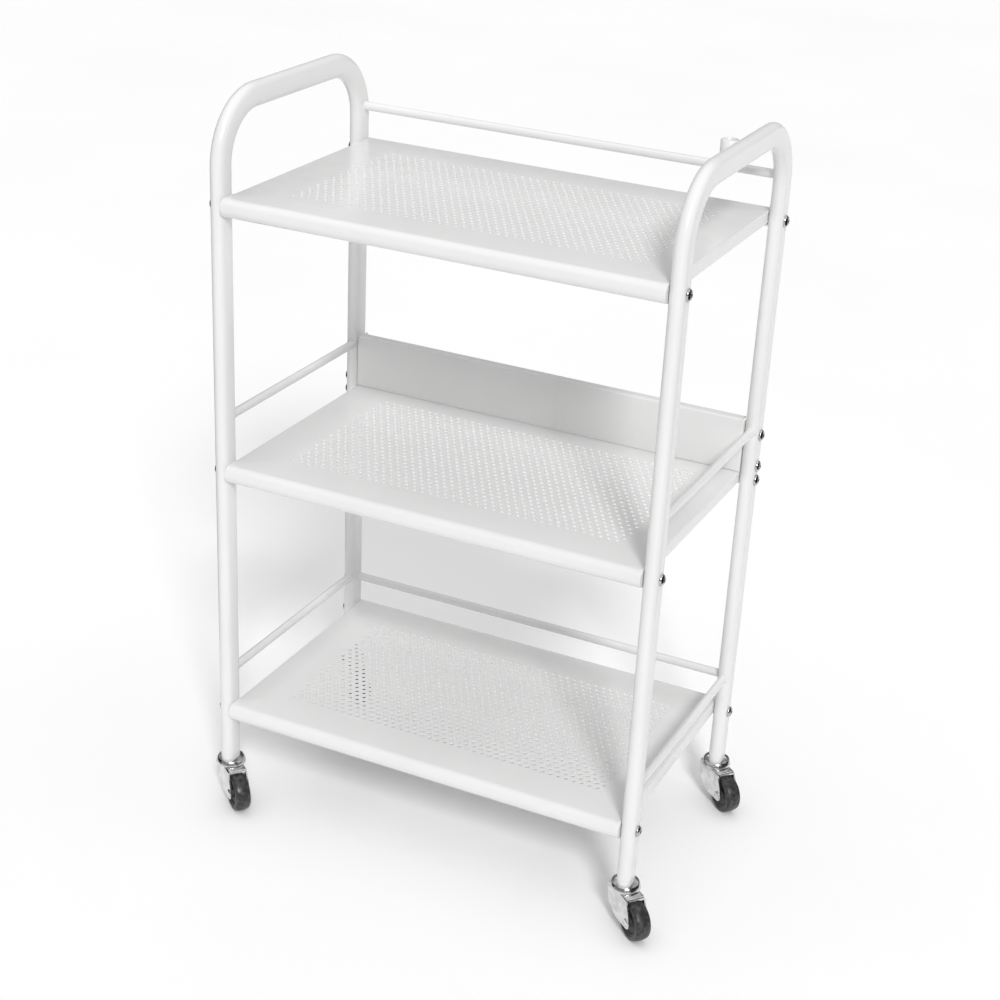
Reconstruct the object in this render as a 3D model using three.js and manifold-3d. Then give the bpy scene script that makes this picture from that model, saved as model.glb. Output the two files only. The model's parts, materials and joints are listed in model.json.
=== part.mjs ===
// Three-tier rolling salon trolley: two bent flat-oval tube hoops carry three perforated sheet-metal
// shelves, wire rails and a low back panel, and stand on four small swivel casters.
// Units are millimetres. +X is the trolley's right, +Y its back, +Z up, and Z = 0 is the floor.
import * as THREE from "three";
import { mergeVertices } from "three/addons/utils/BufferGeometryUtils.js";
import Module from "manifold-3d";

const wasm = await Module();
wasm.setup();

// ---- Driving dimensions ----
const tubeAcross = 15; // flat-oval tube, measured along X
const tubeDeep = 25; // the same tube, measured in the plane of the hoop
const tubeWall = 1.5;
const legX = 237.5; // leg axis to the middle of the trolley, along X
const legY = 134.5; // leg axis to the middle of the trolley, along Y
const hoopTop = 788;
const legEnd = 58.8; // lower end of the tube above the floor
const bendRadius = 60; // hoop corners, on the tube's middle line

const shelfHeights = { top: 689.5, middle: 409.5, bottom: 126 };
const shelfSheet = 1.2;
const rollRadius = 9.5; // rolled front and back edges, outside
const rollY = 140; // middle of the roll from the middle of the shelf
const rollTurn = 225; // degrees the edge is rolled round
const shelfFlange = 12; // height of the turned-down side edge between the legs
const flangeDeep = 126; // nearer the legs than this the flange is as deep as the roll
const shelfHalfWidth = legX - tubeAcross / 2 - 0.3;

const railRadius = 4.5;
const railAboveShelf = 35.5; // top and bottom tiers
const middleRailAboveShelf = 47;
const railSeat = 2.5; // how far a rail end goes into the leg

const panelY = 123.2; // front face of the panel sheet
const panelFoot = 0.8; // gap between panel and shelf
const panelHeight = 59; // shelf surface to the top of the panel
const panelBend = 2.5; // bend radius along the top, outside
const panelTopDepth = 11; // how far the top is folded back
const panelFlangeDepth = 22;
const panelBolts = [6.5, 41.5]; // heights above the shelf surface

const boltRadius = 2.5;
const boltHeadRadius = 6;
const boltHeadHeight = 4;
const boltReach = 6; // how far the bolt passes the inner face of the leg
const nutAcrossCorners = 9;
const nutThick = 4;

const socketX = 180; // lamp socket on the top back rail
const socketRadius = 9.3;
const socketBore = 7.5;
const socketLow = 723;
const socketTop = 752;

const parkAngle = 51; // casters are parked trailing to the front right, degrees from straight ahead
const wheelRadius = 21;
const wheelHalfWidth = 8.5;
const tyreInnerRadius = 15;
const tyreShoulder = [19.4, 7.6]; // radius and half width where the tread turns down
const casterTrail = 25; // wheel axle to swivel axis
const forkHalfWidth = 11;
const forkSheet = 1.5;
const forkTop = 46.8;
const forkBack = -15; // rear end of the fork's top plate, along the trail
const forkFront = 24;
const forkLipLow = 43.4;
const axleRadius = 3;
const capRadius = 16.3;
const capTop = 50.6;
const stemRadius = 4.9;
const stemTop = 90;
const bushTop = 95;

const gap = 0.3; // between pieces that touch
const run = 0.3; // radial clearance of turning pieces

// ---- Finishes ----
const finish = (color, roughness, metalness) =>
  new THREE.MeshStandardMaterial({ color, roughness, metalness });
const whitePaint = () => finish(0xf4f4f2, 0.32, 0.0);
const chrome = () => finish(0xd8dadc, 0.14, 1.0);
const whitePlastic = () => finish(0xf0f0ee, 0.45, 0.0);
const darkPlastic = () => finish(0x26272a, 0.5, 0.0);
const rubber = () => finish(0x2b2c2e, 0.75, 0.0);

// ---- Joining and cutting ----
const radians = THREE.MathUtils.degToRad;

function solid(geometry) {
  const bare = geometry.clone();
  bare.deleteAttribute("normal");
  bare.deleteAttribute("uv");
  const merged = mergeVertices(bare, 1e-4);
  return new wasm.Manifold(
    new wasm.Mesh({
      numProp: 3,
      vertProperties: merged.attributes.position.array,
      triVerts: new Uint32Array(merged.index.array),
    }),
  );
}

function geometryOf(body) {
  const mesh = body.getMesh();
  const geometry = new THREE.BufferGeometry();
  geometry.setAttribute("position", new THREE.BufferAttribute(mesh.vertProperties, 3));
  geometry.setIndex(new THREE.BufferAttribute(mesh.triVerts, 1));
  return geometry;
}

function cut(base, tools) {
  return tools.reduce((body, tool) => body.subtract(solid(tool)), base);
}

function join(pieces) {
  return pieces.slice(1).reduce((body, piece) => body.add(solid(piece)), solid(pieces[0]));
}

const trolley = new THREE.Group();

function place(parent, name, geometry, material) {
  const mesh = new THREE.Mesh(geometry, material);
  mesh.name = name;
  parent.add(mesh);
  return mesh;
}

// ---- Simple shapes ----
function rodX(radius, length, x, y, z, sides = 12) {
  return new THREE.CylinderGeometry(radius, radius, length, sides)
    .rotateZ(Math.PI / 2)
    .translate(x, y, z);
}

function rodY(radius, length, x, y, z, sides = 12) {
  return new THREE.CylinderGeometry(radius, radius, length, sides).translate(x, y, z);
}

function box(sizeX, sizeY, sizeZ, x, y, z) {
  return new THREE.BoxGeometry(sizeX, sizeY, sizeZ).translate(x, y, z);
}

// A profile of [radius, z] pairs turned round the Z axis.
function turned(profile, sides) {
  const points = profile.map(([r, z]) => new THREE.Vector2(r, z));
  return new THREE.LatheGeometry(points, sides).rotateX(Math.PI / 2);
}

// An outline in the Y-Z plane, extruded along X from x0 to x1.
const alongX = new THREE.Matrix4().makeBasis(
  new THREE.Vector3(0, 1, 0),
  new THREE.Vector3(0, 0, 1),
  new THREE.Vector3(1, 0, 0),
);
function extrudedX(shape, x0, x1, curveSegments = 8) {
  return new THREE.ExtrudeGeometry(shape, { depth: x1 - x0, bevelEnabled: false, curveSegments })
    .applyMatrix4(alongX)
    .translate(x0, 0, 0);
}

// Flat-oval outline: half circles joined by straight sides; across is the X width, deep the long way.
function flatOval(across, deep, segments) {
  const r = across / 2;
  const straight = deep / 2 - r;
  const points = [];
  for (const [centre, start] of [[straight, 0], [-straight, Math.PI]]) {
    for (let i = 0; i <= segments; i++) {
      const a = start + (Math.PI * i) / segments;
      points.push(new THREE.Vector2(r * Math.cos(a), centre + r * Math.sin(a)));
    }
  }
  return points;
}

// Sheet metal folded along a path in the Y-Z plane: the path is the middle of the sheet.
function foldedSheet(path, thickness) {
  const side = (sign) =>
    path.map((p, i) => {
      const before = path[Math.max(i - 1, 0)];
      const after = path[Math.min(i + 1, path.length - 1)];
      const along = after.clone().sub(before).normalize();
      const offset = new THREE.Vector2(-along.y, along.x).multiplyScalar((sign * thickness) / 2);
      return p.clone().add(offset);
    });
  return new THREE.Shape([...side(1), ...side(-1).reverse()]);
}

function arc(centreY, centreZ, radius, from, to, segments) {
  const points = [];
  for (let i = 0; i <= segments; i++) {
    const a = radians(from + ((to - from) * i) / segments);
    points.push(new THREE.Vector2(centreY + radius * Math.cos(a), centreZ + radius * Math.sin(a)));
  }
  return points;
}

// ---- Side hoops: one flat-oval tube each, bent over the top to make the handle ----
class HoopPath extends THREE.Curve {
  constructor() {
    super();
    const top = hoopTop - tubeDeep / 2;
    const inner = legY - bendRadius;
    const turnZ = top - bendRadius;
    const front = arc(-inner, turnZ, bendRadius, 180, 90, 9);
    const back = arc(inner, turnZ, bendRadius, 90, 0, 9);
    const flat = [
      new THREE.Vector2(-legY, legEnd),
      ...front,
      ...back,
      new THREE.Vector2(legY, legEnd),
    ];
    const headings = [90, ...front.map((p, i) => 90 - 10 * i), ...back.map((p, i) => -10 * i), -90];
    this.points = flat.map((p) => new THREE.Vector3(0, p.x, p.y));
    this.tangents = headings.map((h) => new THREE.Vector3(0, Math.cos(radians(h)), Math.sin(radians(h))));
  }
  get last() {
    return this.points.length - 1;
  }
  getPointAt(u) {
    return this.points[Math.round(u * this.last)].clone();
  }
  getTangentAt(u) {
    return this.tangents[Math.round(u * this.last)].clone();
  }
}

const hoopPath = new HoopPath();
const hoopSection = new THREE.Shape(flatOval(tubeAcross, tubeDeep, 6));
hoopSection.holes.push(new THREE.Path(flatOval(tubeAcross - 2 * tubeWall, tubeDeep - 2 * tubeWall, 4)));
const hoopTube = new THREE.ExtrudeGeometry(hoopSection, { steps: hoopPath.last, extrudePath: hoopPath });

const sideNames = { left: -1, right: 1 };
const endNames = { front: -1, back: 1 };
const boltDrop = rollRadius; // shelf bolts sit at the middle of the rolled edge
const middleShelf = shelfHeights.middle;

// Bolt positions on a leg, by name.
const boltRows = [];
for (const [tier, height] of Object.entries(shelfHeights)) {
  for (const end of Object.keys(endNames)) {
    boltRows.push({ name: `${tier}_shelf_bolt_${end}`, end, z: height - boltDrop });
  }
}
panelBolts.forEach((height, i) => {
  boltRows.push({ name: `panel_bolt_${["lower", "upper"][i]}`, end: "back", z: middleShelf + height });
});

const sideRails = { middle: middleShelf + middleRailAboveShelf, bottom: shelfHeights.bottom + railAboveShelf };
const backRails = { top: shelfHeights.top + railAboveShelf, bottom: shelfHeights.bottom + railAboveShelf };
const holeClearance = 0.3;

for (const [side, sign] of Object.entries(sideNames)) {
  const holes = boltRows.map((b) =>
    rodX(boltRadius + holeClearance, tubeAcross + 4, 0, endNames[b.end] * legY, b.z, 8),
  );
  for (const z of Object.values(sideRails)) {
    for (const endSign of Object.values(endNames)) {
      holes.push(rodY(railRadius + holeClearance, 8, 0, endSign * (legY - tubeDeep / 2), z));
    }
  }
  for (const z of Object.values(backRails)) {
    holes.push(rodX(railRadius + holeClearance, 8, (-sign * tubeAcross) / 2, legY, z));
  }
  const hoop = cut(solid(hoopTube), holes);
  place(trolley, `${side}_side_hoop`, geometryOf(hoop), whitePaint()).position.x = sign * legX;
}

// ---- Rails: plain rods whose ends seat in the legs ----
const sideRailLength = 2 * (legY - tubeDeep / 2 + railSeat);
const backRailLength = 2 * (legX - tubeAcross / 2 + railSeat);
for (const [tier, z] of Object.entries(sideRails)) {
  for (const [side, sign] of Object.entries(sideNames)) {
    place(trolley, `${tier}_${side}_rail`, rodY(railRadius, sideRailLength, sign * legX, 0, z), whitePaint());
  }
}
for (const [tier, z] of Object.entries(backRails)) {
  place(trolley, `${tier}_back_rail`, rodX(railRadius, backRailLength, 0, legY, z), whitePaint());
}

// ---- Shelves: sheet rolled over at front and back, with side flanges that carry the nuts ----
function weldNut(sign, x, y, z) {
  return rodX(nutAcrossCorners / 2, nutThick + 1, x - (sign * (nutThick - 1)) / 2, y, z, 6);
}

// The side edge of a shelf: deep where the bolts go through it and round at its ends, shallow between.
function endPlate() {
  const step = rollRadius * 2 - shelfFlange;
  return new THREE.Shape([
    ...arc(-rollY, -rollRadius, rollRadius, 270, 90, 8),
    ...arc(rollY, -rollRadius, rollRadius, 90, -90, 8),
    new THREE.Vector2(flangeDeep, -2 * rollRadius),
    new THREE.Vector2(flangeDeep - step, -shelfFlange),
    new THREE.Vector2(step - flangeDeep, -shelfFlange),
    new THREE.Vector2(-flangeDeep, -2 * rollRadius),
  ]);
}

function shelfBody() {
  const middle = rollRadius - shelfSheet / 2;
  const backRoll = arc(rollY, -rollRadius, middle, 90, 90 - rollTurn, 10);
  const frontRoll = arc(-rollY, -rollRadius, middle, 90 + rollTurn, 90, 10);
  const pieces = [
    extrudedX(foldedSheet([...frontRoll, ...backRoll], shelfSheet), -shelfHalfWidth + 0.5, shelfHalfWidth - 0.5),
  ];
  const tools = [];
  for (const sign of Object.values(sideNames)) {
    const outer = sign * shelfHalfWidth;
    const inner = sign * (shelfHalfWidth - shelfSheet);
    pieces.push(extrudedX(endPlate(), Math.min(outer, inner), Math.max(outer, inner)));
    for (const endSign of Object.values(endNames)) {
      pieces.push(weldNut(sign, inner, endSign * legY, -boltDrop));
      tools.push(rodX(boltRadius + holeClearance, 24, outer, endSign * legY, -boltDrop, 8));
    }
  }
  return cut(join(pieces), tools);
}

for (const [tier, height] of Object.entries(shelfHeights)) {
  place(trolley, `${tier}_shelf`, geometryOf(shelfBody()), whitePaint()).position.z = height;
}

// ---- Middle back panel: sheet folded back along the top, with flanges against the back legs ----
function panelBody() {
  const half = shelfSheet / 2;
  const bendMiddle = panelBend - half;
  const sheetPath = [
    new THREE.Vector2(panelY + half, panelFoot),
    ...arc(panelY + panelBend, panelHeight - panelBend, bendMiddle, 180, 90, 4),
    new THREE.Vector2(panelY + panelTopDepth, panelHeight - half),
  ];
  const pieces = [extrudedX(foldedSheet(sheetPath, shelfSheet), -shelfHalfWidth + 0.5, shelfHalfWidth - 0.5)];
  const flangeHigh = panelHeight - panelBend - panelFoot;
  const holes = [];
  for (const sign of Object.values(sideNames)) {
    const x = sign * (shelfHalfWidth - half);
    const flange = box(
      shelfSheet,
      panelFlangeDepth,
      flangeHigh,
      x,
      panelY + panelFlangeDepth / 2,
      panelFoot + flangeHigh / 2,
    );
    pieces.push(flange);
    for (const z of panelBolts) {
      pieces.push(weldNut(sign, sign * (shelfHalfWidth - shelfSheet), legY, z));
      holes.push(rodX(boltRadius + holeClearance, 24, sign * shelfHalfWidth, legY, z, 8));
    }
  }
  return cut(join(pieces), holes);
}
place(trolley, "middle_back_panel", geometryOf(panelBody()), whitePaint()).position.z = middleShelf;

// ---- Dome-head bolts through the legs into the weld nuts ----
const shank = tubeAcross + boltReach;
const boltProfile = [
  [0, -shank],
  [boltRadius, -shank],
  [boltRadius, gap],
  [boltHeadRadius, gap],
  [boltHeadRadius * 0.93, boltHeadHeight * 0.45],
  [boltHeadRadius * 0.6, boltHeadHeight * 0.85],
  [0, boltHeadHeight],
];
for (const { name, end, z } of boltRows) {
  for (const [side, sign] of Object.entries(sideNames)) {
    const bolt = place(trolley, `${name}_${side}`, turned(boltProfile, 8), chrome());
    bolt.rotation.y = (sign * Math.PI) / 2;
    bolt.position.set(sign * (legX + tubeAcross / 2), endNames[end] * legY, z);
  }
}

// ---- Lamp socket: a short tube whose foot is coped over the top back rail ----
const socketTube = turned(
  [
    [socketBore, socketLow],
    [socketRadius, socketLow],
    [socketRadius, socketTop - 1],
    [socketRadius - 1, socketTop],
    [socketBore, socketTop],
    [socketBore, socketLow],
  ],
  16,
);
const socketCut = rodX(railRadius + holeClearance, 3 * socketRadius, 0, 0, backRails.top);
place(trolley, "lamp_socket", geometryOf(cut(solid(socketTube), [socketCut])), whitePaint()).position.set(
  socketX,
  legY,
  0,
);

// ---- Casters: plastic bush in the leg, stem with cap, balls, fork, axle, hub and tyre ----
function bushBody() {
  const collarLow = capTop + gap;
  const collarTop = legEnd - gap;
  const oval = (inset) => new THREE.Shape(flatOval(tubeAcross - inset, tubeDeep - inset, 4));
  const rise = (shape, low, high) =>
    new THREE.ExtrudeGeometry(shape, { depth: high - low, bevelEnabled: false }).translate(0, 0, low);
  const collar = rise(oval(0.6), collarLow, collarTop);
  const plug = rise(oval(2 * (tubeWall + gap)), collarTop - 1, bushTop);
  const boreProfile = [
    [0, collarLow - 1],
    [stemRadius + run, collarLow - 1],
    [stemRadius + run, stemTop + 1],
    [0, stemTop + 1],
  ];
  const bore = turned(boreProfile, 14);
  return cut(join([collar, plug]), [bore]);
}

const capLow = forkTop + gap;
const stemProfile = [
  [0, forkTop - forkSheet - 2.3],
  [6, forkTop - forkSheet - 2.3],
  [7, forkTop - forkSheet - gap],
  [stemRadius, forkTop - forkSheet - gap],
  [stemRadius, capTop - 1.4],
  [10.5, capTop - 1.4],
  [14.4, capTop - 2.6],
  [15, capLow],
  [capRadius, capLow],
  [capRadius, capLow + 1.3],
  [15.2, capTop - 1.3],
  [11, capTop],
  [stemRadius, capTop],
  [stemRadius, stemTop - 1.5],
  [stemRadius - 1.5, stemTop],
  [0, stemTop],
];

// Ring of balls between cap and fork, kept as one plain ring.
const ballRing = [];
const ballRadius = 0.85;
for (let i = 0; i <= 6; i++) {
  const a = (2 * Math.PI * i) / 6;
  ballRing.push([9 + ballRadius * Math.cos(a), forkTop + gap / 2 + ballRadius * (1 + Math.sin(a))]);
}
ballRing[6] = ballRing[0];

function forkBody() {
  const low = wheelRadius - 7; // lower edge of the cheeks
  const outline = new THREE.Shape();
  outline.moveTo(-forkBack, forkTop);
  outline.lineTo(-forkBack, 31);
  outline.quadraticCurveTo(12, 20, -6, low);
  outline.lineTo(-casterTrail, low);
  outline.absarc(-casterTrail, wheelRadius, 7, -Math.PI / 2, -Math.PI * 0.94, true);
  outline.lineTo(-forkFront, forkTop);
  const cheek = (sign) => {
    const faces = [sign * forkHalfWidth, sign * (forkHalfWidth - forkSheet)].sort((a, b) => a - b);
    return extrudedX(outline, faces[0], faces[1], 6);
  };
  const plateLength = forkFront - forkBack;
  const plate = box(
    2 * forkHalfWidth - 0.2,
    plateLength,
    forkSheet,
    0,
    -(forkFront + forkBack) / 2,
    forkTop - forkSheet / 2,
  );
  const lipHigh = forkTop - forkLipLow;
  const lip = box(2 * forkHalfWidth - 0.2, forkSheet, lipHigh, 0, -forkFront + 0.5, forkTop - lipHigh / 2);
  const stemHole = new THREE.CylinderGeometry(stemRadius + run, stemRadius + run, 8, 14)
    .rotateX(Math.PI / 2)
    .translate(0, 0, forkTop);
  const axleHole = rodX(axleRadius + gap, 3 * forkHalfWidth, 0, -casterTrail, wheelRadius, 12);
  return cut(join([plate, cheek(-1), cheek(1), lip]), [stemHole, axleHole]);
}

const axleHalf = forkHalfWidth + gap;
const axleProfile = [
  [0, -axleHalf - 1.5],
  [3.4, -axleHalf - 1.5],
  [4.6, -axleHalf - 0.5],
  [4.6, -axleHalf],
  [axleRadius, -axleHalf],
  [axleRadius, axleHalf],
  [4.6, axleHalf],
  [4.6, axleHalf + 0.5],
  [3.4, axleHalf + 1.5],
  [0, axleHalf + 1.5],
];

const hubBore = axleRadius + run;
const hubProfile = [
  [hubBore, -wheelHalfWidth - 0.4],
  [5.5, -wheelHalfWidth - 0.4],
  [5.5, -6],
  [12.5, -6],
  [12.5, -7.6],
  [tyreInnerRadius - gap, -7.6],
  [tyreInnerRadius - gap, 7.6],
  [12.5, 7.6],
  [12.5, 6],
  [5.5, 6],
  [5.5, wheelHalfWidth + 0.4],
  [hubBore, wheelHalfWidth + 0.4],
  [hubBore, -wheelHalfWidth - 0.4],
];

const tyreProfile = [
  [tyreInnerRadius, -7.8],
  [17.2, -wheelHalfWidth],
  [tyreShoulder[0], -tyreShoulder[1]],
  [20.6, -4.8],
  [wheelRadius, 0],
  [20.6, 4.8],
  tyreShoulder,
  [17.2, wheelHalfWidth],
  [tyreInnerRadius, 7.8],
  [tyreInnerRadius, -7.8],
];

for (const [end, endSign] of Object.entries(endNames)) {
  for (const [side, sign] of Object.entries(sideNames)) {
    const name = `${end}_${side}`;
    const leg = new THREE.Group();
    leg.position.set(sign * legX, endSign * legY, 0);
    trolley.add(leg);
    place(leg, `${name}_bush`, geometryOf(bushBody()), whitePlastic());
    place(leg, `${name}_stem`, turned(stemProfile, 14), chrome());

    const swivel = new THREE.Group();
    swivel.rotation.z = radians(parkAngle);
    leg.add(swivel);
    place(swivel, `${name}_ball_ring`, turned(ballRing, 12), chrome());
    place(swivel, `${name}_fork`, geometryOf(forkBody()), chrome());

    const wheel = new THREE.Group();
    wheel.position.set(0, -casterTrail, wheelRadius);
    wheel.rotation.y = Math.PI / 2;
    swivel.add(wheel);
    place(wheel, `${name}_axle`, turned(axleProfile, 10), chrome());
    place(wheel, `${name}_hub`, turned(hubProfile, 14), darkPlastic());
    place(wheel, `${name}_tyre`, turned(tyreProfile, 24), rubber());
  }
}

// ---- Origin: the middle of the footprint on the floor, with the casters parked ----
// The tyres reach furthest to the right and the front, the forks' rear corners to the left and the back.
const park = radians(parkAngle);
const reach = (trail, halfWidth) => ({
  x: legX + trail * Math.sin(park) + halfWidth * Math.cos(park),
  y: legY + trail * Math.cos(park) + halfWidth * Math.sin(park),
});
const wheelReach = reach(casterTrail + tyreShoulder[0], tyreShoulder[1]);
const forkReach = reach(-forkBack, forkHalfWidth);
trolley.position.set((forkReach.x - wheelReach.x) / 2, (wheelReach.y - forkReach.y) / 2, 0);

export default trolley;
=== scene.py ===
import json
import math

import bmesh
import bpy
from mathutils import Matrix, Vector


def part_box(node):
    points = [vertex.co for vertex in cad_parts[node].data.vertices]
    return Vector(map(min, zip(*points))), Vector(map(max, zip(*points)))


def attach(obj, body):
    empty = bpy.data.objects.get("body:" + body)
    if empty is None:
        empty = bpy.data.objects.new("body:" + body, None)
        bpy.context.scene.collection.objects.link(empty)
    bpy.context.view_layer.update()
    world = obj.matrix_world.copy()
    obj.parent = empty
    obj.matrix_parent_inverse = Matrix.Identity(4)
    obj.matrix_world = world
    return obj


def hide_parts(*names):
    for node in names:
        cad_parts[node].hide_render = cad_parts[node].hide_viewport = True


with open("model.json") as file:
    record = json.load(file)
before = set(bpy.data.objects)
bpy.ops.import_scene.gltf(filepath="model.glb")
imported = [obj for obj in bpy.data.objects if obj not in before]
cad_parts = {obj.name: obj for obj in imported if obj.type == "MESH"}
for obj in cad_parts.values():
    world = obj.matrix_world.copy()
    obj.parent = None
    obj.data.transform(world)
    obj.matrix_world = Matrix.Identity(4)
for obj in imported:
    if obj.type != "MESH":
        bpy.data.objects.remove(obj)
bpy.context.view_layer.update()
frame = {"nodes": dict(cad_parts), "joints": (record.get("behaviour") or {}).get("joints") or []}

# ---- Camera ---------------------------------------------------------------------------------
# A long lens 1.2 m up, in front of the trolley and to its right, looking down at the middle
# tier. It is held tilted by three degrees.
camera = bpy.data.cameras.new("camera")
camera.lens = 69.75
camera.sensor_width = 36
camera.shift_x = -0.008
camera.shift_y = 0.06
camera.clip_end = 200
camera_stand = bpy.data.objects.new("camera", camera)
bpy.context.collection.objects.link(camera_stand)
bpy.context.scene.camera = camera_stand
aim = Vector((0.0155, 0.0079, 0.3064))
distance = 2.0512
azimuth, elevation, tilt = (math.radians(a) for a in (24.28, 26.424, 3.112))
back_to_camera = Vector(
    (
        math.sin(azimuth) * math.cos(elevation),
        -math.cos(azimuth) * math.cos(elevation),
        math.sin(elevation),
    )
)
camera_stand.location = aim + distance * back_to_camera
camera_stand.rotation_mode = "QUATERNION"
level = (-back_to_camera).to_track_quat("-Z", "Y").to_matrix()
camera_stand.rotation_quaternion = (level @ Matrix.Rotation(tilt, 3, "Z")).to_quaternion()

# ---- Side hoops -----------------------------------------------------------------------------
# Each side is one length of flat-oval steel tube, 25 by 15 mm, bent twice over a former into two
# legs with the handle between them, and finished in gloss white powder coat.
hoop_low, hoop_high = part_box("left_side_hoop")
other_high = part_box("right_side_hoop")[1]
tube_across, tube_deep, tube_wall = 0.015, 0.025, 0.0015
bend_radius = 0.060
middle = (hoop_low + other_high) / 2
leg_x = (other_high.x - hoop_low.x - tube_across) / 2
leg_y = (hoop_high.y - hoop_low.y - tube_deep) / 2
leg_foot, hoop_top = hoop_low.z, hoop_high.z
tolerance = 1e-6


def speckle(nodes, links, scale, detail, stretch=(1, 1, 1)):
    """Noise fixed to the piece itself."""
    place = nodes.new("ShaderNodeTexCoord")
    turn = nodes.new("ShaderNodeMapping")
    turn.inputs["Scale"].default_value = stretch
    noise = nodes.new("ShaderNodeTexNoise")
    noise.inputs["Scale"].default_value = scale
    noise.inputs["Detail"].default_value = detail
    links.new(place.outputs["Object"], turn.inputs["Vector"])
    links.new(turn.outputs["Vector"], noise.inputs["Vector"])
    return noise.outputs["Fac"]


def spread(nodes, links, source, low, high, start=0.3, end=0.7):
    """A pattern's values spread between a low and a high number."""
    scale = nodes.new("ShaderNodeMapRange")
    scale.inputs["From Min"].default_value = start
    scale.inputs["From Max"].default_value = end
    scale.inputs["To Min"].default_value = low
    scale.inputs["To Max"].default_value = high
    links.new(source, scale.inputs["Value"])
    return scale.outputs["Result"]


def tint(nodes, links, source, first, second, start=0.35, end=0.65):
    """A pattern's values as a run between two colours."""
    ramp = nodes.new("ShaderNodeValToRGB")
    ramp.color_ramp.elements[0].position = start
    ramp.color_ramp.elements[0].color = (*first, 1)
    ramp.color_ramp.elements[1].position = end
    ramp.color_ramp.elements[1].color = (*second, 1)
    links.new(source, ramp.inputs["Fac"])
    return ramp.outputs["Color"]


def relief(nodes, links, heights, shader):
    """Bumps of several sizes laid over each other: pairs of a pattern and its depth in metres."""
    normal = None
    for pattern, depth in heights:
        bump = nodes.new("ShaderNodeBump")
        bump.inputs["Strength"].default_value = 1
        bump.inputs["Distance"].default_value = depth
        links.new(pattern, bump.inputs["Height"])
        if normal:
            links.new(normal, bump.inputs["Normal"])
        normal = bump.outputs["Normal"]
    links.new(normal, shader.inputs["Normal"])


def new_finish(name):
    """A material with its nodes, its links and its shader."""
    finish = bpy.data.materials.new(name)
    finish.use_nodes = True
    nodes, links = finish.node_tree.nodes, finish.node_tree.links
    return finish, nodes, links, nodes["Principled BSDF"]


powder_coat, nodes, links, shader = new_finish("white_powder_coat")
clouds = speckle(nodes, links, 9, 3)
peel = speckle(nodes, links, 420, 2)
dust = speckle(nodes, links, 60, 6)
rubs = speckle(nodes, links, 35, 8, (1, 1, 0.15))
tone = tint(nodes, links, clouds, (0.79, 0.79, 0.787), (0.81, 0.81, 0.807))
rubbed = tint(nodes, links, rubs, (1, 1, 1), (0.965, 0.96, 0.95), 0.66, 0.80)
blend = nodes.new("ShaderNodeMix")
blend.data_type = "RGBA"
blend.blend_type = "MULTIPLY"
blend.inputs["Factor"].default_value = 1
links.new(tone, blend.inputs["A"])
links.new(rubbed, blend.inputs["B"])
links.new(blend.outputs["Result"], shader.inputs["Base Color"])
links.new(spread(nodes, links, dust, 0.19, 0.27), shader.inputs["Roughness"])
relief(nodes, links, [(peel, 0.000004)], shader)
shader.inputs["IOR"].default_value = 1.52


def finish_piece(shape, name, body, node, finish, smooth=35, rounding=0.0):
    """Turns a shape into a piece that rides with a body and stands for one of its nodes."""
    mesh = bpy.data.meshes.new(name)
    shape.to_mesh(mesh)
    shape.free()
    mesh.materials.append(finish)
    mesh.shade_smooth()
    piece = bpy.data.objects.new(name, mesh)
    bpy.context.collection.objects.link(piece)
    if rounding:
        edge = piece.modifiers.new("rounded_edges", "BEVEL")
        edge.width = rounding
        edge.segments = 2
        edge.limit_method = "ANGLE"
        edge.angle_limit = math.radians(smooth)
        edge.harden_normals = True
    else:
        mesh.set_sharp_from_angle(angle=math.radians(smooth))
    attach(piece, body)
    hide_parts(node)


def flat_oval(shape, across, deep, segments=28):
    """The tube's outline lying flat, its long way along Y."""
    ring = bmesh.ops.create_circle(shape, segments=segments, radius=across / 2)["verts"]
    half_step = math.pi / segments
    bmesh.ops.rotate(shape, verts=ring, matrix=Matrix.Rotation(half_step, 3, "Z"))
    bmesh.ops.scale(shape, verts=ring, vec=Vector((1, 1, 1)) / math.cos(half_step))
    straight = (deep - across) / 2
    bmesh.ops.translate(shape, verts=[v for v in ring if v.co.y > 0], vec=(0, straight, 0))
    bmesh.ops.translate(shape, verts=[v for v in ring if v.co.y < 0], vec=(0, -straight, 0))
    return ring


def only(kind, made):
    """The verts, edges or faces among the things an operator made."""
    return [g for g in made if isinstance(g, kind)]


def run_on(shape, edges, step):
    """Extrudes edges by a step and gives the new edges."""
    grown = bmesh.ops.extrude_edge_only(shape, edges=edges)["geom"]
    bmesh.ops.translate(shape, verts=only(bmesh.types.BMVert, grown), vec=step)
    return only(bmesh.types.BMEdge, grown)


def swing_on(shape, edges, centre, axis, angle, steps):
    """Sweeps edges round an axis and gives the last edges."""
    verts = list({v for e in edges for v in e.verts})
    swept = bmesh.ops.spin(
        shape, geom=verts + edges, cent=centre, axis=axis, angle=math.radians(angle), steps=steps
    )["geom_last"]
    return only(bmesh.types.BMEdge, swept)


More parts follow.
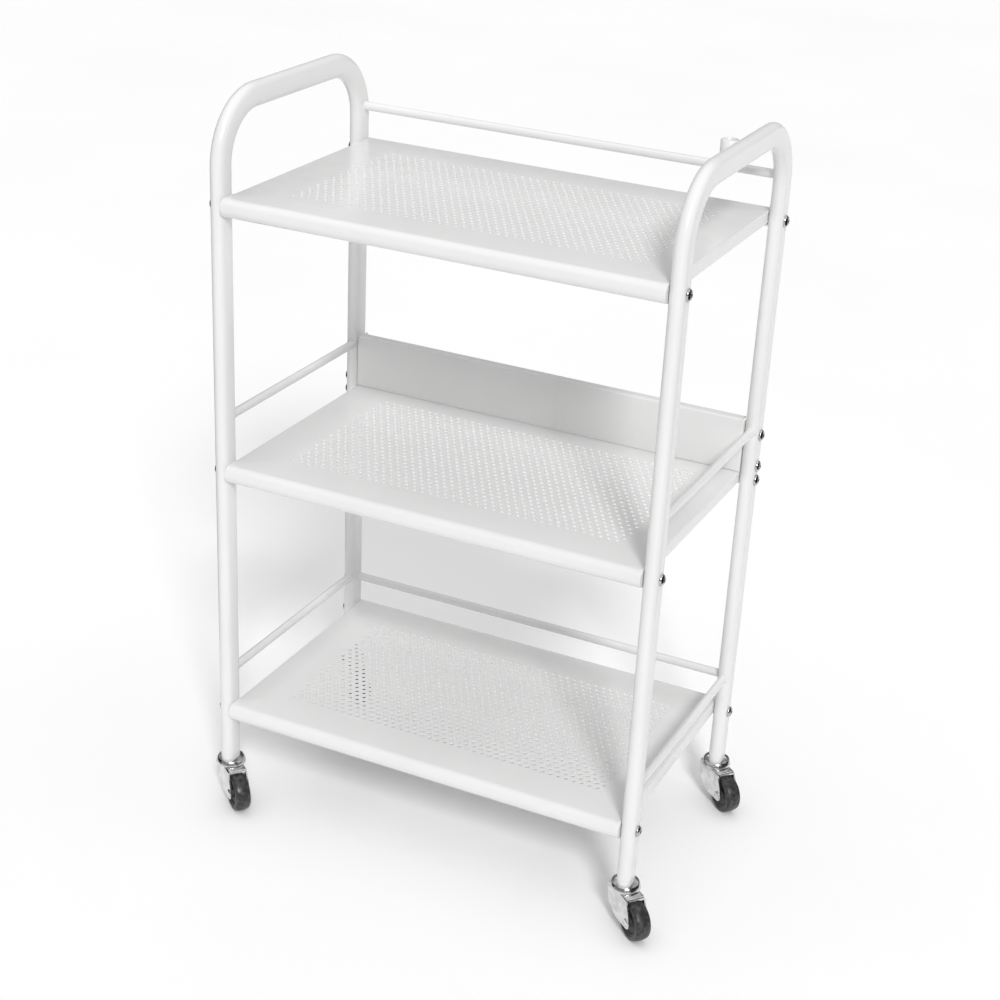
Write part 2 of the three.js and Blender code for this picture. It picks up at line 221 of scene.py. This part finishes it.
bend_steps = 16
bend_z = hoop_top - tube_deep / 2 - bend_radius
for side, sign in (("left", -1), ("right", 1)):
    tube = bmesh.new()
    ring = flat_oval(tube, tube_across, tube_deep)
    foot = (middle.x + sign * leg_x, middle.y - leg_y, leg_foot)
    front_bend = (0, middle.y - leg_y + bend_radius, bend_z)
    back_bend = (0, middle.y + leg_y - bend_radius, bend_z)
    bmesh.ops.translate(tube, verts=ring, vec=foot)
    end = run_on(tube, tube.edges[:], (0, 0, bend_z - leg_foot))
    end = swing_on(tube, end, front_bend, (1, 0, 0), -90, bend_steps)
    end = run_on(tube, end, (0, 2 * (leg_y - bend_radius), 0))
    end = swing_on(tube, end, back_bend, (1, 0, 0), -90, bend_steps)
    run_on(tube, end, (0, 0, leg_foot - bend_z))
    bmesh.ops.remove_doubles(tube, verts=tube.verts[:], dist=tolerance)
    bmesh.ops.recalc_face_normals(tube, faces=tube.faces[:])
    bmesh.ops.solidify(tube, geom=tube.faces[:], thickness=tube_wall)
    finish_piece(
        tube, f"{side}_hoop_tube", "frame", f"{side}_side_hoop", powder_coat
    )

# ---- Shelves --------------------------------------------------------------------------------
# Three alike trays of 1.2 mm steel sheet, punched with staggered round holes inside a plain margin.
# Front and back edges are rolled under and the sides folded down. End plates with welded nuts close
# the rolls, and the shelf is screwed to the legs through them.
sheet = 0.0012
roll_radius = 0.0095
roll_turn = 225
roll_y = 0.140
side_edge = 0.2297
side_bend = 0.002
side_fold = 0.012
fold_end = 0.126
end_plate_radius = 0.0082
nut_radius = 0.0045
nut_thick = 0.004
nut_inset = 0.0011
hole_radius = 0.00225
hole_sides = 12
hole_facet = 2 * hole_radius * math.sin(math.pi / hole_sides)
hole_pitch = 0.00886
row_step = hole_pitch * math.sqrt(3) / 2
holes_in_row, hole_rows = 42, 26
shelf_tops = {tier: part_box(f"{tier}_shelf")[1].z for tier in ("top", "middle", "bottom")}


def add_copies(shape, places):
    """Repeats everything made so far at each of the places."""
    cell = shape.verts[:] + shape.edges[:] + shape.faces[:]
    for place in places:
        copied = bmesh.ops.duplicate(shape, geom=cell)["geom"]
        bmesh.ops.translate(shape, verts=only(bmesh.types.BMVert, copied), vec=place)


def punched_field():
    """Sheet with staggered holes: one six-sided cell round a hole, repeated into rows and rows."""
    field = bmesh.new()
    bmesh.ops.create_circle(field, segments=hole_sides, radius=hole_radius)
    rim = bmesh.ops.create_circle(field, segments=6, radius=hole_pitch / math.sqrt(3))["verts"]
    outer = [e for e in field.edges if e.verts[0] in rim]
    bmesh.ops.subdivide_edges(field, edges=outer, cuts=1)
    bmesh.ops.bridge_loops(field, edges=field.edges[:])
    add_copies(field, [(n * hole_pitch, 0, 0) for n in range(1, holes_in_row)])
    add_copies(field, [(n % 2 * hole_pitch / 2, n * row_step, 0) for n in range(1, hole_rows)])
    bmesh.ops.remove_doubles(field, verts=field.verts[:], dist=10 * tolerance)
    half_width = (holes_in_row - 0.5) * hole_pitch / 2
    shift = (hole_pitch / 2 - half_width, -(hole_rows - 1) * row_step / 2, 0)
    bmesh.ops.translate(field, verts=field.verts[:], vec=shift)
    return field


def add_outline(shape, corners):
    """A closed outline through the corners."""
    points = [shape.verts.new(c) for c in corners]
    return [shape.edges.new((a, b)) for a, b in zip(points, points[1:] + points[:1])]


def edges_where(shape, test):
    """The edges whose both ends pass a test of place."""
    return [e for e in shape.edges if all(test(v.co) for v in e.verts)]


for tier, top in shelf_tops.items():
    shelf = punched_field()
    field_rim = [e for e in shelf.edges if e.is_boundary and e.calc_length() > 1.2 * hole_facet]
    inner = side_edge - side_bend
    outline = add_outline(
        shelf,
        [
            (-side_edge, -roll_y, 0),
            (side_edge, -roll_y, 0),
            (side_edge, -fold_end, 0),
            (inner, -fold_end, 0),
            (inner, fold_end, 0),
            (side_edge, fold_end, 0),
            (side_edge, roll_y, 0),
            (-side_edge, roll_y, 0),
            (-side_edge, fold_end, 0),
            (-inner, fold_end, 0),
            (-inner, -fold_end, 0),
            (-side_edge, -fold_end, 0),
        ],
    )
    bmesh.ops.triangle_fill(shelf, edges=field_rim + outline, normal=(0, 0, 1), use_beauty=True)
    for sign in (-1, 1):
        fold = edges_where(
            shelf, lambda p: abs(p.x - sign * inner) < tolerance and abs(p.y) < fold_end + tolerance
        )
        fold = swing_on(shelf, fold, (sign * inner, 0, -side_bend), (0, 1, 0), sign * 90, 4)
        run_on(shelf, fold, (0, 0, side_bend - side_fold))
    for end in (-1, 1):
        lip = edges_where(shelf, lambda p: abs(p.y - end * roll_y) < tolerance and abs(p.z) < tolerance)
        swing_on(shelf, lip, (0, end * roll_y, -roll_radius), (1, 0, 0), -end * roll_turn, 20)
    bmesh.ops.remove_doubles(shelf, verts=shelf.verts[:], dist=tolerance)
    bmesh.ops.recalc_face_normals(shelf, faces=shelf.faces[:])
    if max(shelf.faces, key=lambda f: f.calc_area()).normal.z < 0:
        bmesh.ops.reverse_faces(shelf, faces=shelf.faces[:])
    bmesh.ops.solidify(shelf, geom=shelf.faces[:], thickness=sheet)
    for sign in (-1, 1):
        for end in (-1, 1):
            for place_x, place_y, segments, radius, thick in (
                (side_edge - sheet / 2, roll_y, 32, end_plate_radius, sheet),
                (side_edge - nut_inset - nut_thick / 2, leg_y, 6, nut_radius, nut_thick),
            ):
                disc = bmesh.ops.create_cone(
                    shelf,
                    cap_ends=True,
                    segments=segments,
                    radius1=radius,
                    radius2=radius,
                    depth=thick,
                )["verts"]
                seat = Matrix.Translation((sign * place_x, end * place_y, -roll_radius))
                upright = Matrix.Rotation(math.pi / 2, 4, "Y")
                bmesh.ops.transform(shelf, verts=disc, matrix=seat @ upright)
    bmesh.ops.translate(shelf, verts=shelf.verts[:], vec=(middle.x, middle.y, top))
    finish_piece(shelf, f"{tier}_tray", "frame", f"{tier}_shelf", powder_coat, 40)

# ---- Rails ----------------------------------------------------------------------------------
# Plain 9 mm rods that keep things from sliding off, welded between the legs with a small fillet
# at each end and coated with the frame. The fillet is pairs of a distance from the leg's face,
# counted along the rod, and a radius.
rail_seat = 0.0025
fillet = ((-0.0024, 0.0061), (-0.0006, 0.0056), (0.0006, 0.0050), (0.0022, 0.0045))


def taper_on(shape, edges, rise, ratio_x, ratio_y):
    """Extrudes edges up by a rise, widened about the Z axis, and gives the new edges."""
    grown = run_on(shape, edges, (0, 0, rise))
    verts = list({v for e in grown for v in e.verts})
    bmesh.ops.scale(shape, verts=verts, vec=(ratio_x, ratio_y, 1))
    return grown


for rail in (
    "top_back_rail",
    "middle_left_rail",
    "middle_right_rail",
    "bottom_left_rail",
    "bottom_right_rail",
    "bottom_back_rail",
):
    low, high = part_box(rail)
    centre, size = (low + high) / 2, high - low
    rod = bmesh.new()
    along_x = size.x > size.y
    half = (size.x if along_x else size.y) / 2 - rail_seat
    stations = [(along - half, radius) for along, radius in fillet]
    stations += [(half - along, radius) for along, radius in reversed(fillet)]
    at, width = stations[0]
    ring = bmesh.ops.create_circle(rod, segments=24, radius=width)["verts"]
    bmesh.ops.translate(rod, verts=ring, vec=(0, 0, at))
    end = rod.edges[:]
    for place, radius in stations[1:]:
        end = taper_on(rod, end, place - at, radius / width, radius / width)
        at, width = place, radius
    bmesh.ops.holes_fill(rod, edges=rod.edges[:], sides=0)
    bmesh.ops.recalc_face_normals(rod, faces=rod.faces[:])
    lie = Matrix.Rotation(math.pi / 2, 4, "Y" if along_x else "X")
    bmesh.ops.transform(rod, verts=rod.verts[:], matrix=Matrix.Translation(centre) @ lie)
    finish_piece(rod, f"{rail}_rod", "frame", rail, powder_coat, 50)

# ---- Back panel of the middle tier ----------------------------------------------------------
# One strip of the same sheet, folded back along the top and at both ends. It stands on the
# shelf and its end folds are screwed to the back legs.
crest_bend = 0.0025
crest_depth = 0.011
end_fold_depth = 0.022
low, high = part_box("middle_back_panel")
panel = bmesh.new()
half = side_edge - side_bend
panel_top = high.z - crest_bend
front_face = [(-half, 0, low.z), (half, 0, low.z), (half, 0, panel_top), (-half, 0, panel_top)]
strip = panel.faces.new([panel.verts.new(c) for c in front_face])
crest = edges_where(panel, lambda p: abs(p.z - panel_top) < tolerance)
crest = swing_on(panel, crest, (0, crest_bend, panel_top), (1, 0, 0), -90, 5)
run_on(panel, crest, (0, crest_depth - crest_bend, 0))
for sign in (-1, 1):
    fold = edges_where(
        panel,
        lambda p: abs(p.x - sign * half) < tolerance and abs(p.y) < tolerance and p.z < panel_top + tolerance,
    )
    fold = swing_on(panel, fold, (sign * half, side_bend, 0), (0, 0, 1), sign * 90, 4)
    run_on(panel, fold, (0, end_fold_depth - side_bend, 0))
bmesh.ops.remove_doubles(panel, verts=panel.verts[:], dist=tolerance)
bmesh.ops.recalc_face_normals(panel, faces=panel.faces[:])
if strip.normal.y > 0:
    bmesh.ops.reverse_faces(panel, faces=panel.faces[:])
bmesh.ops.solidify(panel, geom=panel.faces[:], thickness=sheet)
bmesh.ops.translate(panel, verts=panel.verts[:], vec=(middle.x, low.y, 0))
finish_piece(
    panel, "middle_panel_strip", "frame", "middle_back_panel", powder_coat, 40
)

# ---- Lamp socket ----------------------------------------------------------------------------
# A length of round tube 29 mm tall, welded upright on the top back rail near its right end, with
# its foot round the rail. A magnifier lamp's stem drops into it.


def turned(shape, profile, steps, closed=True):
    """Turns a profile of radius and height pairs round the Z axis."""
    points = [shape.verts.new((r, 0, z)) for r, z in profile]
    edges = [shape.edges.new(pair) for pair in zip(points, points[1:])]
    if closed:
        edges.append(shape.edges.new((points[-1], points[0])))
    bmesh.ops.spin(
        shape,
        geom=points + edges,
        cent=(0, 0, 0),
        axis=(0, 0, 1),
        angle=math.tau,
        steps=steps,
        use_merge=True,
    )
    bmesh.ops.remove_doubles(shape, verts=shape.verts[:], dist=tolerance)
    bmesh.ops.recalc_face_normals(shape, faces=shape.faces[:])


low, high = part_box("lamp_socket")
socket = bmesh.new()
bore, wall = 0.0075, 0.0093
foot_ease, rim_ease = 0.0004, 0.0006
turned(
    socket,
    [
        (bore, low.z + foot_ease),
        (bore + foot_ease, low.z),
        (wall - foot_ease, low.z),
        (wall, low.z + foot_ease),
        (wall, high.z - rim_ease),
        (wall - rim_ease, high.z),
        (bore + rim_ease, high.z),
        (bore, high.z - rim_ease),
    ],
    48,
)
upright_on = ((low.x + high.x) / 2, (low.y + high.y) / 2, 0)
bmesh.ops.translate(socket, verts=socket.verts[:], vec=upright_on)
finish_piece(socket, "lamp_socket_tube", "frame", "lamp_socket", powder_coat, 50)

# ---- Screws ---------------------------------------------------------------------------------
# Bright plated button-head screws with a hexagon socket, put through the legs from outside into
# the nuts of the shelves and the back panel. The head's outline is pairs of a height and a radius.
bright_screw, nodes, links, shader = new_finish("bright_plated_screw")
bloom = speckle(nodes, links, 300, 5)
marks = speckle(nodes, links, 900, 3)
links.new(
    tint(nodes, links, bloom, (0.42, 0.42, 0.43), (0.66, 0.66, 0.67)), shader.inputs["Base Color"]
)
links.new(spread(nodes, links, bloom, 0.14, 0.30), shader.inputs["Roughness"])
relief(nodes, links, [(marks, 0.00002)], shader)
shader.inputs["Metallic"].default_value = 1

shank_radius, shank_length = 0.0025, 0.021
head_height = 0.0040
head_outline = (
    (0.0001, 0.0057),
    (0.0004, 0.0060),
    (0.0011, 0.0060),
    (0.0019, 0.0057),
    (0.0027, 0.0050),
    (0.0033, 0.0041),
    (0.0037, 0.0029),
    (0.0038, 0.0024),
)
key_radius, key_rim, key_depth = 0.0022, 0.0037, 0.0018
for name in sorted(n for n in frame["nodes"] if "_bolt_" in n):
    low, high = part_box(name)
    outward = -1 if name.endswith("left") else 1
    screw = bmesh.new()
    bmesh.ops.create_circle(screw, segments=24, radius=shank_radius)
    end, at, width = screw.edges[:], 0.0, shank_radius
    thread = run_on(screw, end, (0, 0, -shank_length))
    bmesh.ops.holes_fill(screw, edges=thread, sides=0)
    for place, radius in head_outline:
        end = taper_on(screw, end, place - at, radius / width, radius / width)
        at, width = place, radius
    hexagon = bmesh.ops.create_circle(screw, segments=6, radius=key_radius)["verts"]
    bmesh.ops.translate(screw, verts=hexagon, vec=(0, 0, key_rim))
    flats = [e for e in screw.edges if e.is_wire]
    bmesh.ops.subdivide_edges(screw, edges=flats, cuts=3)
    flats = [e for e in screw.edges if e.is_wire]
    bmesh.ops.bridge_loops(screw, edges=end + flats)
    key_floor = run_on(screw, flats, (0, 0, -key_depth))
    bmesh.ops.holes_fill(screw, edges=key_floor, sides=0)
    bmesh.ops.recalc_face_normals(screw, faces=screw.faces[:])
    under_head = high.x - head_height if outward > 0 else low.x + head_height
    seat = Matrix.Translation((under_head, (low.y + high.y) / 2, (low.z + high.z) / 2))
    point = Matrix.Rotation(outward * math.pi / 2, 4, "Y")
    bmesh.ops.transform(screw, verts=screw.verts[:], matrix=seat @ point)
    finish_piece(screw, f"{name}_screw", "frame", name, bright_screw)

# ---- Leg bushes -----------------------------------------------------------------------------
# Moulded white plastic plugs pushed up into the feet of the tubes; a collar of the tube's own
# outline shows below each foot and takes the caster's stem.
white_plastic, nodes, links, shader = new_finish("white_moulded_plastic")
cloud = speckle(nodes, links, 80, 3)
pits = speckle(nodes, links, 1500, 2)
links.new(
    tint(nodes, links, cloud, (0.78, 0.775, 0.76), (0.84, 0.835, 0.82)), shader.inputs["Base Color"]
)
links.new(spread(nodes, links, cloud, 0.32, 0.48), shader.inputs["Roughness"])
relief(nodes, links, [(pits, 0.00002)], shader)

joints = {j["name"]: j for j in frame["joints"]}
corners = [f"{end}_{side}" for end in ("front", "back") for side in ("left", "right")]
foot_gap = 0.0003
under_foot = leg_foot - foot_gap
for corner in corners:
    swivel = Vector(joints[f"{corner}_swivel"]["pos_m"])
    low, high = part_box(f"{corner}_bush")
    plug = bmesh.new()
    across, deep = tube_across - 0.0018, tube_deep - 0.0018
    ring = flat_oval(plug, across, deep)
    bmesh.ops.translate(plug, verts=ring, vec=(0, 0, low.z))
    end, at = plug.edges[:], low.z
    bmesh.ops.holes_fill(plug, edges=end, sides=0)
    for place, inset in (
        (low.z + 0.0006, 0.0006),
        (under_foot, 0.0006),
        (under_foot, 0.0037),
        (high.z, 0.0045),
    ):
        new_across, new_deep = tube_across - inset, tube_deep - inset
        end = taper_on(plug, end, place - at, new_across / across, new_deep / deep)
        at, across, deep = place, new_across, new_deep
    bmesh.ops.holes_fill(plug, edges=end, sides=0)
    bmesh.ops.recalc_face_normals(plug, faces=plug.faces[:])
    bmesh.ops.translate(plug, verts=plug.verts[:], vec=(swivel.x, swivel.y, 0))
    finish_piece(
        plug, f"{corner}_leg_plug", "frame", f"{corner}_bush", white_plastic, 40
    )

# ---- Caster stems ---------------------------------------------------------------------------
# A turned pin pressed through a dished cap of plated steel. The cap's raised rim closes round the
# bush, and the balls of the swivel run under it.
plated_steel, nodes, links, shader = new_finish("bright_plated_steel")
bloom = speckle(nodes, links, 120, 5)
drag = speckle(nodes, links, 500, 4, (1, 1, 0.08))
grit = speckle(nodes, links, 1400, 3)
links.new(
    tint(nodes, links, bloom, (0.60, 0.60, 0.61), (0.80, 0.80, 0.81)), shader.inputs["Base Color"]
)
links.new(spread(nodes, links, drag, 0.12, 0.30), shader.inputs["Roughness"])
relief(nodes, links, [(drag, 0.00002), (grit, 0.00001)], shader)
shader.inputs["Metallic"].default_value = 1

cap_z = 0.0471
for corner in corners:
    swivel = Vector(joints[f"{corner}_swivel"]["pos_m"])
    low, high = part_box(f"{corner}_stem")
    stem = bmesh.new()
    turned(
        stem,
        [
            (0, low.z),
            (0.0056, low.z),
            (0.0066, low.z + 0.0006),
            (0.0070, low.z + 0.0014),
            (0.0049, low.z + 0.0022),
            (0.0049, cap_z + 0.0020),
            (0.0100, cap_z + 0.0020),
            (0.0138, cap_z + 0.0014),
            (0.0150, cap_z),
            (0.0160, cap_z),
            (0.0163, cap_z + 0.0004),
            (0.0160, cap_z + 0.0016),
            (0.0146, cap_z + 0.0058),
            (0.0141, cap_z + 0.0062),
            (0.0136, cap_z + 0.0058),
            (0.0134, cap_z + 0.0036),
            (0.0128, cap_z + 0.0031),
            (0.0049, cap_z + 0.0031),
            (0.0049, high.z - 0.0012),
            (0.0038, high.z),
            (0, high.z),
        ],
        56,
        closed=False,
    )
    bmesh.ops.translate(stem, verts=stem.verts[:], vec=(swivel.x, swivel.y, 0))
    finish_piece(
        stem, f"{corner}_caster_stem", "frame", f"{corner}_stem", plated_steel, 40
    )

# ---- Swivel balls ---------------------------------------------------------------------------
# Sixteen small steel balls between cap and fork let the fork turn under the leg. They roll in a
# ring 18 mm across.
ball_count = 16
ball_radius = 0.0008
race_radius = 0.009
for corner in corners:
    swivel = Vector(joints[f"{corner}_swivel"]["pos_m"])
    low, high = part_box(f"{corner}_ball_ring")
    race = bmesh.new()
    for n in range(ball_count):
        turn = Matrix.Rotation(math.tau * n / ball_count, 4, "Z")
        place = Matrix.Translation((race_radius, 0, (low.z + high.z) / 2))
        bmesh.ops.create_icosphere(race, subdivisions=2, radius=ball_radius, matrix=turn @ place)
    bmesh.ops.translate(race, verts=race.verts[:], vec=(swivel.x, swivel.y, 0))
    finish_piece(
        race,
        f"{corner}_swivel_balls",
        f"{corner}_caster_fork",
        f"{corner}_ball_ring",
        plated_steel,
        80,
    )

# ---- Forks ----------------------------------------------------------------------------------
# Each fork is pressed from one piece of 1.5 mm plated steel: a top plate with its sides bent down
# into cheeks that taper to the axle, and a short lip over the wheel. A cheek's steps are a height
# and where its back and front edges are there.
cheek_steps = (
    (0.0310, -0.0150, 0.0286),
    (0.0258, -0.0126, 0.0301),
    (0.0212, -0.0083, 0.0314),
    (0.0173, -0.0021, 0.0309),
    (0.0154, 0.0025, 0.0292),
    (0.0143, 0.0052, 0.0268),
    (0.0140, 0.0065, 0.0250),
)
fork_sheet = 0.0015
fork_bend = 0.0025
plate_z = 0.0468
plate_back, plate_front = -0.015, 0.0225
lip_drop = 0.0019
fork_half_width = 0.011
flat = fork_half_width - fork_bend
for corner in corners:
    swivel = Vector(joints[f"{corner}_swivel"]["pos_m"])
    axle = Vector(joints[f"{corner}_wheel"]["pos_m"])
    trail = math.atan2(axle.x - swivel.x, swivel.y - axle.y)
    fork = bmesh.new()
    outline = ((-flat, plate_back), (flat, plate_back), (flat, plate_front), (-flat, plate_front))
    fork.faces.new([fork.verts.new((x, -along, plate_z)) for x, along in outline])
    bmesh.ops.subdivide_edges(fork, edges=fork.edges[:], cuts=6, use_grid_fill=True)
    for sign in (-1, 1):
        cheek = edges_where(fork, lambda p: abs(p.x - sign * flat) < tolerance)
        cheek = swing_on(
            fork, cheek, (sign * flat, 0, plate_z - fork_bend), (0, 1, 0), sign * 90, 5
        )
        at, back, front = plate_z - fork_bend, plate_back, plate_front
        for place, new_back, new_front in cheek_steps:
            cheek = run_on(fork, cheek, (0, 0, place - at))
            for v in {v for e in cheek for v in e.verts}:
                share = (-v.co.y - back) / (front - back)
                v.co.y = -(new_back + share * (new_front - new_back))
            at, back, front = place, new_back, new_front
    lip = edges_where(fork, lambda p: abs(p.y + plate_front) < tolerance and p.z > plate_z - tolerance)
    lip = swing_on(fork, lip, (0, -plate_front, plate_z - fork_sheet), (1, 0, 0), 90, 4)
    run_on(fork, lip, (0, 0, -lip_drop))
    bmesh.ops.remove_doubles(fork, verts=fork.verts[:], dist=tolerance)
    bmesh.ops.recalc_face_normals(fork, faces=fork.faces[:])
    if max(fork.faces, key=lambda f: f.normal.z).calc_center_median().z < plate_z - 0.001:
        bmesh.ops.reverse_faces(fork, faces=fork.faces[:])
    bmesh.ops.solidify(fork, geom=fork.faces[:], thickness=fork_sheet)
    seat = Matrix.Translation((swivel.x, swivel.y, 0)) @ Matrix.Rotation(trail, 4, "Z")
    bmesh.ops.transform(fork, verts=fork.verts[:], matrix=seat)
    finish_piece(
        fork,
        f"{corner}_pressed_fork",
        f"{corner}_caster_fork",
        f"{corner}_fork",
        plated_steel,
        40,
        0.0002,
    )

# ---- Axles ----------------------------------------------------------------------------------
# A plain steel pin through both cheeks of each fork, its ends spread into low rivet heads. Its
# outline, like the wheel's, is half of a profile and its mirror image.
pin_half = [
    (0, -0.0126),
    (0.0022, -0.0126),
    (0.0036, -0.0122),
    (0.0044, -0.0116),
    (0.0046, -0.0111),
    (0.0030, -0.0111),
]


def both_halves(half):
    """Half a profile of radius and height pairs, carried on by its mirror image."""
    return half + [(radius, -height) for radius, height in reversed(half)]


def on_axle(corner):
    """Puts what is turned about the Z axis on the axle of a corner's wheel."""
    axle = joints[f"{corner}_wheel"]
    along = Vector(axle["axis"]).to_track_quat("Z", "X").to_matrix().to_4x4()
    return Matrix.Translation(axle["pos_m"]) @ along


for corner in corners:
    pin = bmesh.new()
    turned(pin, both_halves(pin_half), 32, closed=False)
    bmesh.ops.transform(pin, verts=pin.verts[:], matrix=on_axle(corner))
    finish_piece(
        pin,
        f"{corner}_axle_pin",
        f"{corner}_caster_fork",
        f"{corner}_axle",
        plated_steel,
        40,
    )

# ---- Wheels ---------------------------------------------------------------------------------
# A charcoal plastic hub with a long boss on the axle, and a smooth 42 mm rubber tyre moulded round
# it, crowned across the tread with a fine parting line.
hub_plastic, nodes, links, shader = new_finish("charcoal_hub_plastic")
cloud = speckle(nodes, links, 150, 4)
pits = speckle(nodes, links, 1800, 2)
links.new(
    tint(nodes, links, cloud, (0.030, 0.030, 0.032), (0.055, 0.055, 0.058)),
    shader.inputs["Base Color"],
)
links.new(spread(nodes, links, cloud, 0.40, 0.60), shader.inputs["Roughness"])
relief(nodes, links, [(pits, 0.00003)], shader)

tyre_rubber, nodes, links, shader = new_finish("charcoal_tyre_rubber")
scuff = speckle(nodes, links, 220, 6)
drift = speckle(nodes, links, 60, 3)
pores = speckle(nodes, links, 2200, 2)
worn = tint(nodes, links, scuff, (0.016, 0.016, 0.017), (0.070, 0.070, 0.072), 0.42, 0.72)
links.new(worn, shader.inputs["Base Color"])
links.new(spread(nodes, links, drift, 0.28, 0.50), shader.inputs["Roughness"])
relief(nodes, links, [(pores, 0.00003), (scuff, 0.0001)], shader)

hub_half = [
    (0.0033, -0.0089),
    (0.0052, -0.0089),
    (0.0055, -0.0086),
    (0.0057, -0.0062),
    (0.0066, -0.0058),
    (0.0118, -0.0058),
    (0.0125, -0.0062),
    (0.0128, -0.0073),
    (0.0131, -0.0076),
    (0.0147, -0.0076),
]
tyre_half = [
    (0.0150, -0.0078),
    (0.0156, -0.0083),
    (0.0172, -0.0085),
    (0.0185, -0.0082),
    (0.0194, -0.0076),
    (0.0201, -0.0064),
    (0.0206, -0.0046),
    (0.0209, -0.0024),
    (0.02098, -0.0004),
    (0.0210, -0.0001),
]
for corner in corners:
    hub = bmesh.new()
    turned(hub, both_halves(hub_half), 56)
    bmesh.ops.transform(hub, verts=hub.verts[:], matrix=on_axle(corner))
    finish_piece(
        hub,
        f"{corner}_wheel_hub",
        f"{corner}_caster_wheel",
        f"{corner}_hub",
        hub_plastic,
    )
    tyre = bmesh.new()
    turned(tyre, both_halves(tyre_half), 72)
    bmesh.ops.transform(tyre, verts=tyre.verts[:], matrix=on_axle(corner))
    finish_piece(
        tyre,
        f"{corner}_wheel_tyre",
        f"{corner}_caster_wheel",
        f"{corner}_tyre",
        tyre_rubber,
        50,
    )

# ---- Floor and light ------------------------------------------------------------------------
# A plain pale studio floor in a soft room, a key lamp in front and to the right, and a broad lamp
# overhead. Two dark flags at the sides, seen only in reflections, put thin dark edges into the
# gloss paint.
studio_floor, nodes, links, shader = new_finish("pale_studio_floor")
cloud = speckle(nodes, links, 1.5, 3)
links.new(
    tint(nodes, links, cloud, (0.965, 0.965, 0.965), (0.975, 0.975, 0.975)),
    shader.inputs["Base Color"],
)
links.new(spread(nodes, links, cloud, 0.75, 0.85), shader.inputs["Roughness"])
ground = bmesh.new()
bmesh.ops.create_circle(ground, cap_ends=True, segments=96, radius=40)
mesh = bpy.data.meshes.new("studio_floor")
ground.to_mesh(mesh)
ground.free()
mesh.materials.append(studio_floor)
floor = bpy.data.objects.new("studio_floor", mesh)
bpy.context.collection.objects.link(floor)

room = bpy.data.worlds.new("studio_room")
room.use_nodes = True
room.node_tree.nodes["Background"].inputs["Color"].default_value = (1, 1, 1, 1)
room.node_tree.nodes["Background"].inputs["Strength"].default_value = 0.24
bpy.context.scene.world = room


def soft_lamp(name, azimuth, elevation, spread_angle, power):
    """A distant soft lamp, its azimuth counted from the front towards the right."""
    lamp = bpy.data.lights.new(name, "SUN")
    lamp.angle = math.radians(spread_angle)
    lamp.energy = power
    stand = bpy.data.objects.new(name, lamp)
    bpy.context.collection.objects.link(stand)
    turn = Matrix.Rotation(math.radians(azimuth), 3, "Z")
    lean = Matrix.Rotation(math.radians(90 - elevation), 3, "X")
    stand.rotation_mode = "QUATERNION"
    stand.rotation_quaternion = (turn @ lean).to_quaternion()


soft_lamp("key_lamp", 35, 38, 12, 1.75)
soft_lamp("overhead_lamp", 0, 90, 90, 1.45)

black_flag, nodes, links, shader = new_finish("black_flag_cloth")
weave = speckle(nodes, links, 200, 2)
links.new(
    tint(nodes, links, weave, (0.01, 0.01, 0.01), (0.02, 0.02, 0.02)), shader.inputs["Base Color"]
)
shader.inputs["Roughness"].default_value = 1
flag_height = 0.95
for name, place in (("left_flag", (-0.62, 0, 0.48)), ("right_flag", (0.66, 0.1, 0.48))):
    card = bmesh.new()
    bmesh.ops.create_grid(card, x_segments=1, y_segments=1, size=0.5)
    bmesh.ops.scale(card, verts=card.verts[:], vec=(flag_height, 1, 1))
    stand_up = Matrix.Rotation(math.pi / 2, 4, "Y")
    bmesh.ops.transform(card, verts=card.verts[:], matrix=Matrix.Translation(place) @ stand_up)
    mesh = bpy.data.meshes.new(name)
    card.to_mesh(mesh)
    card.free()
    mesh.materials.append(black_flag)
    flag = bpy.data.objects.new(name, mesh)
    bpy.context.collection.objects.link(flag)
    flag.visible_camera = False
    flag.visible_shadow = False
    flag.visible_diffuse = False

bpy.context.scene.view_settings.view_transform = "Standard"
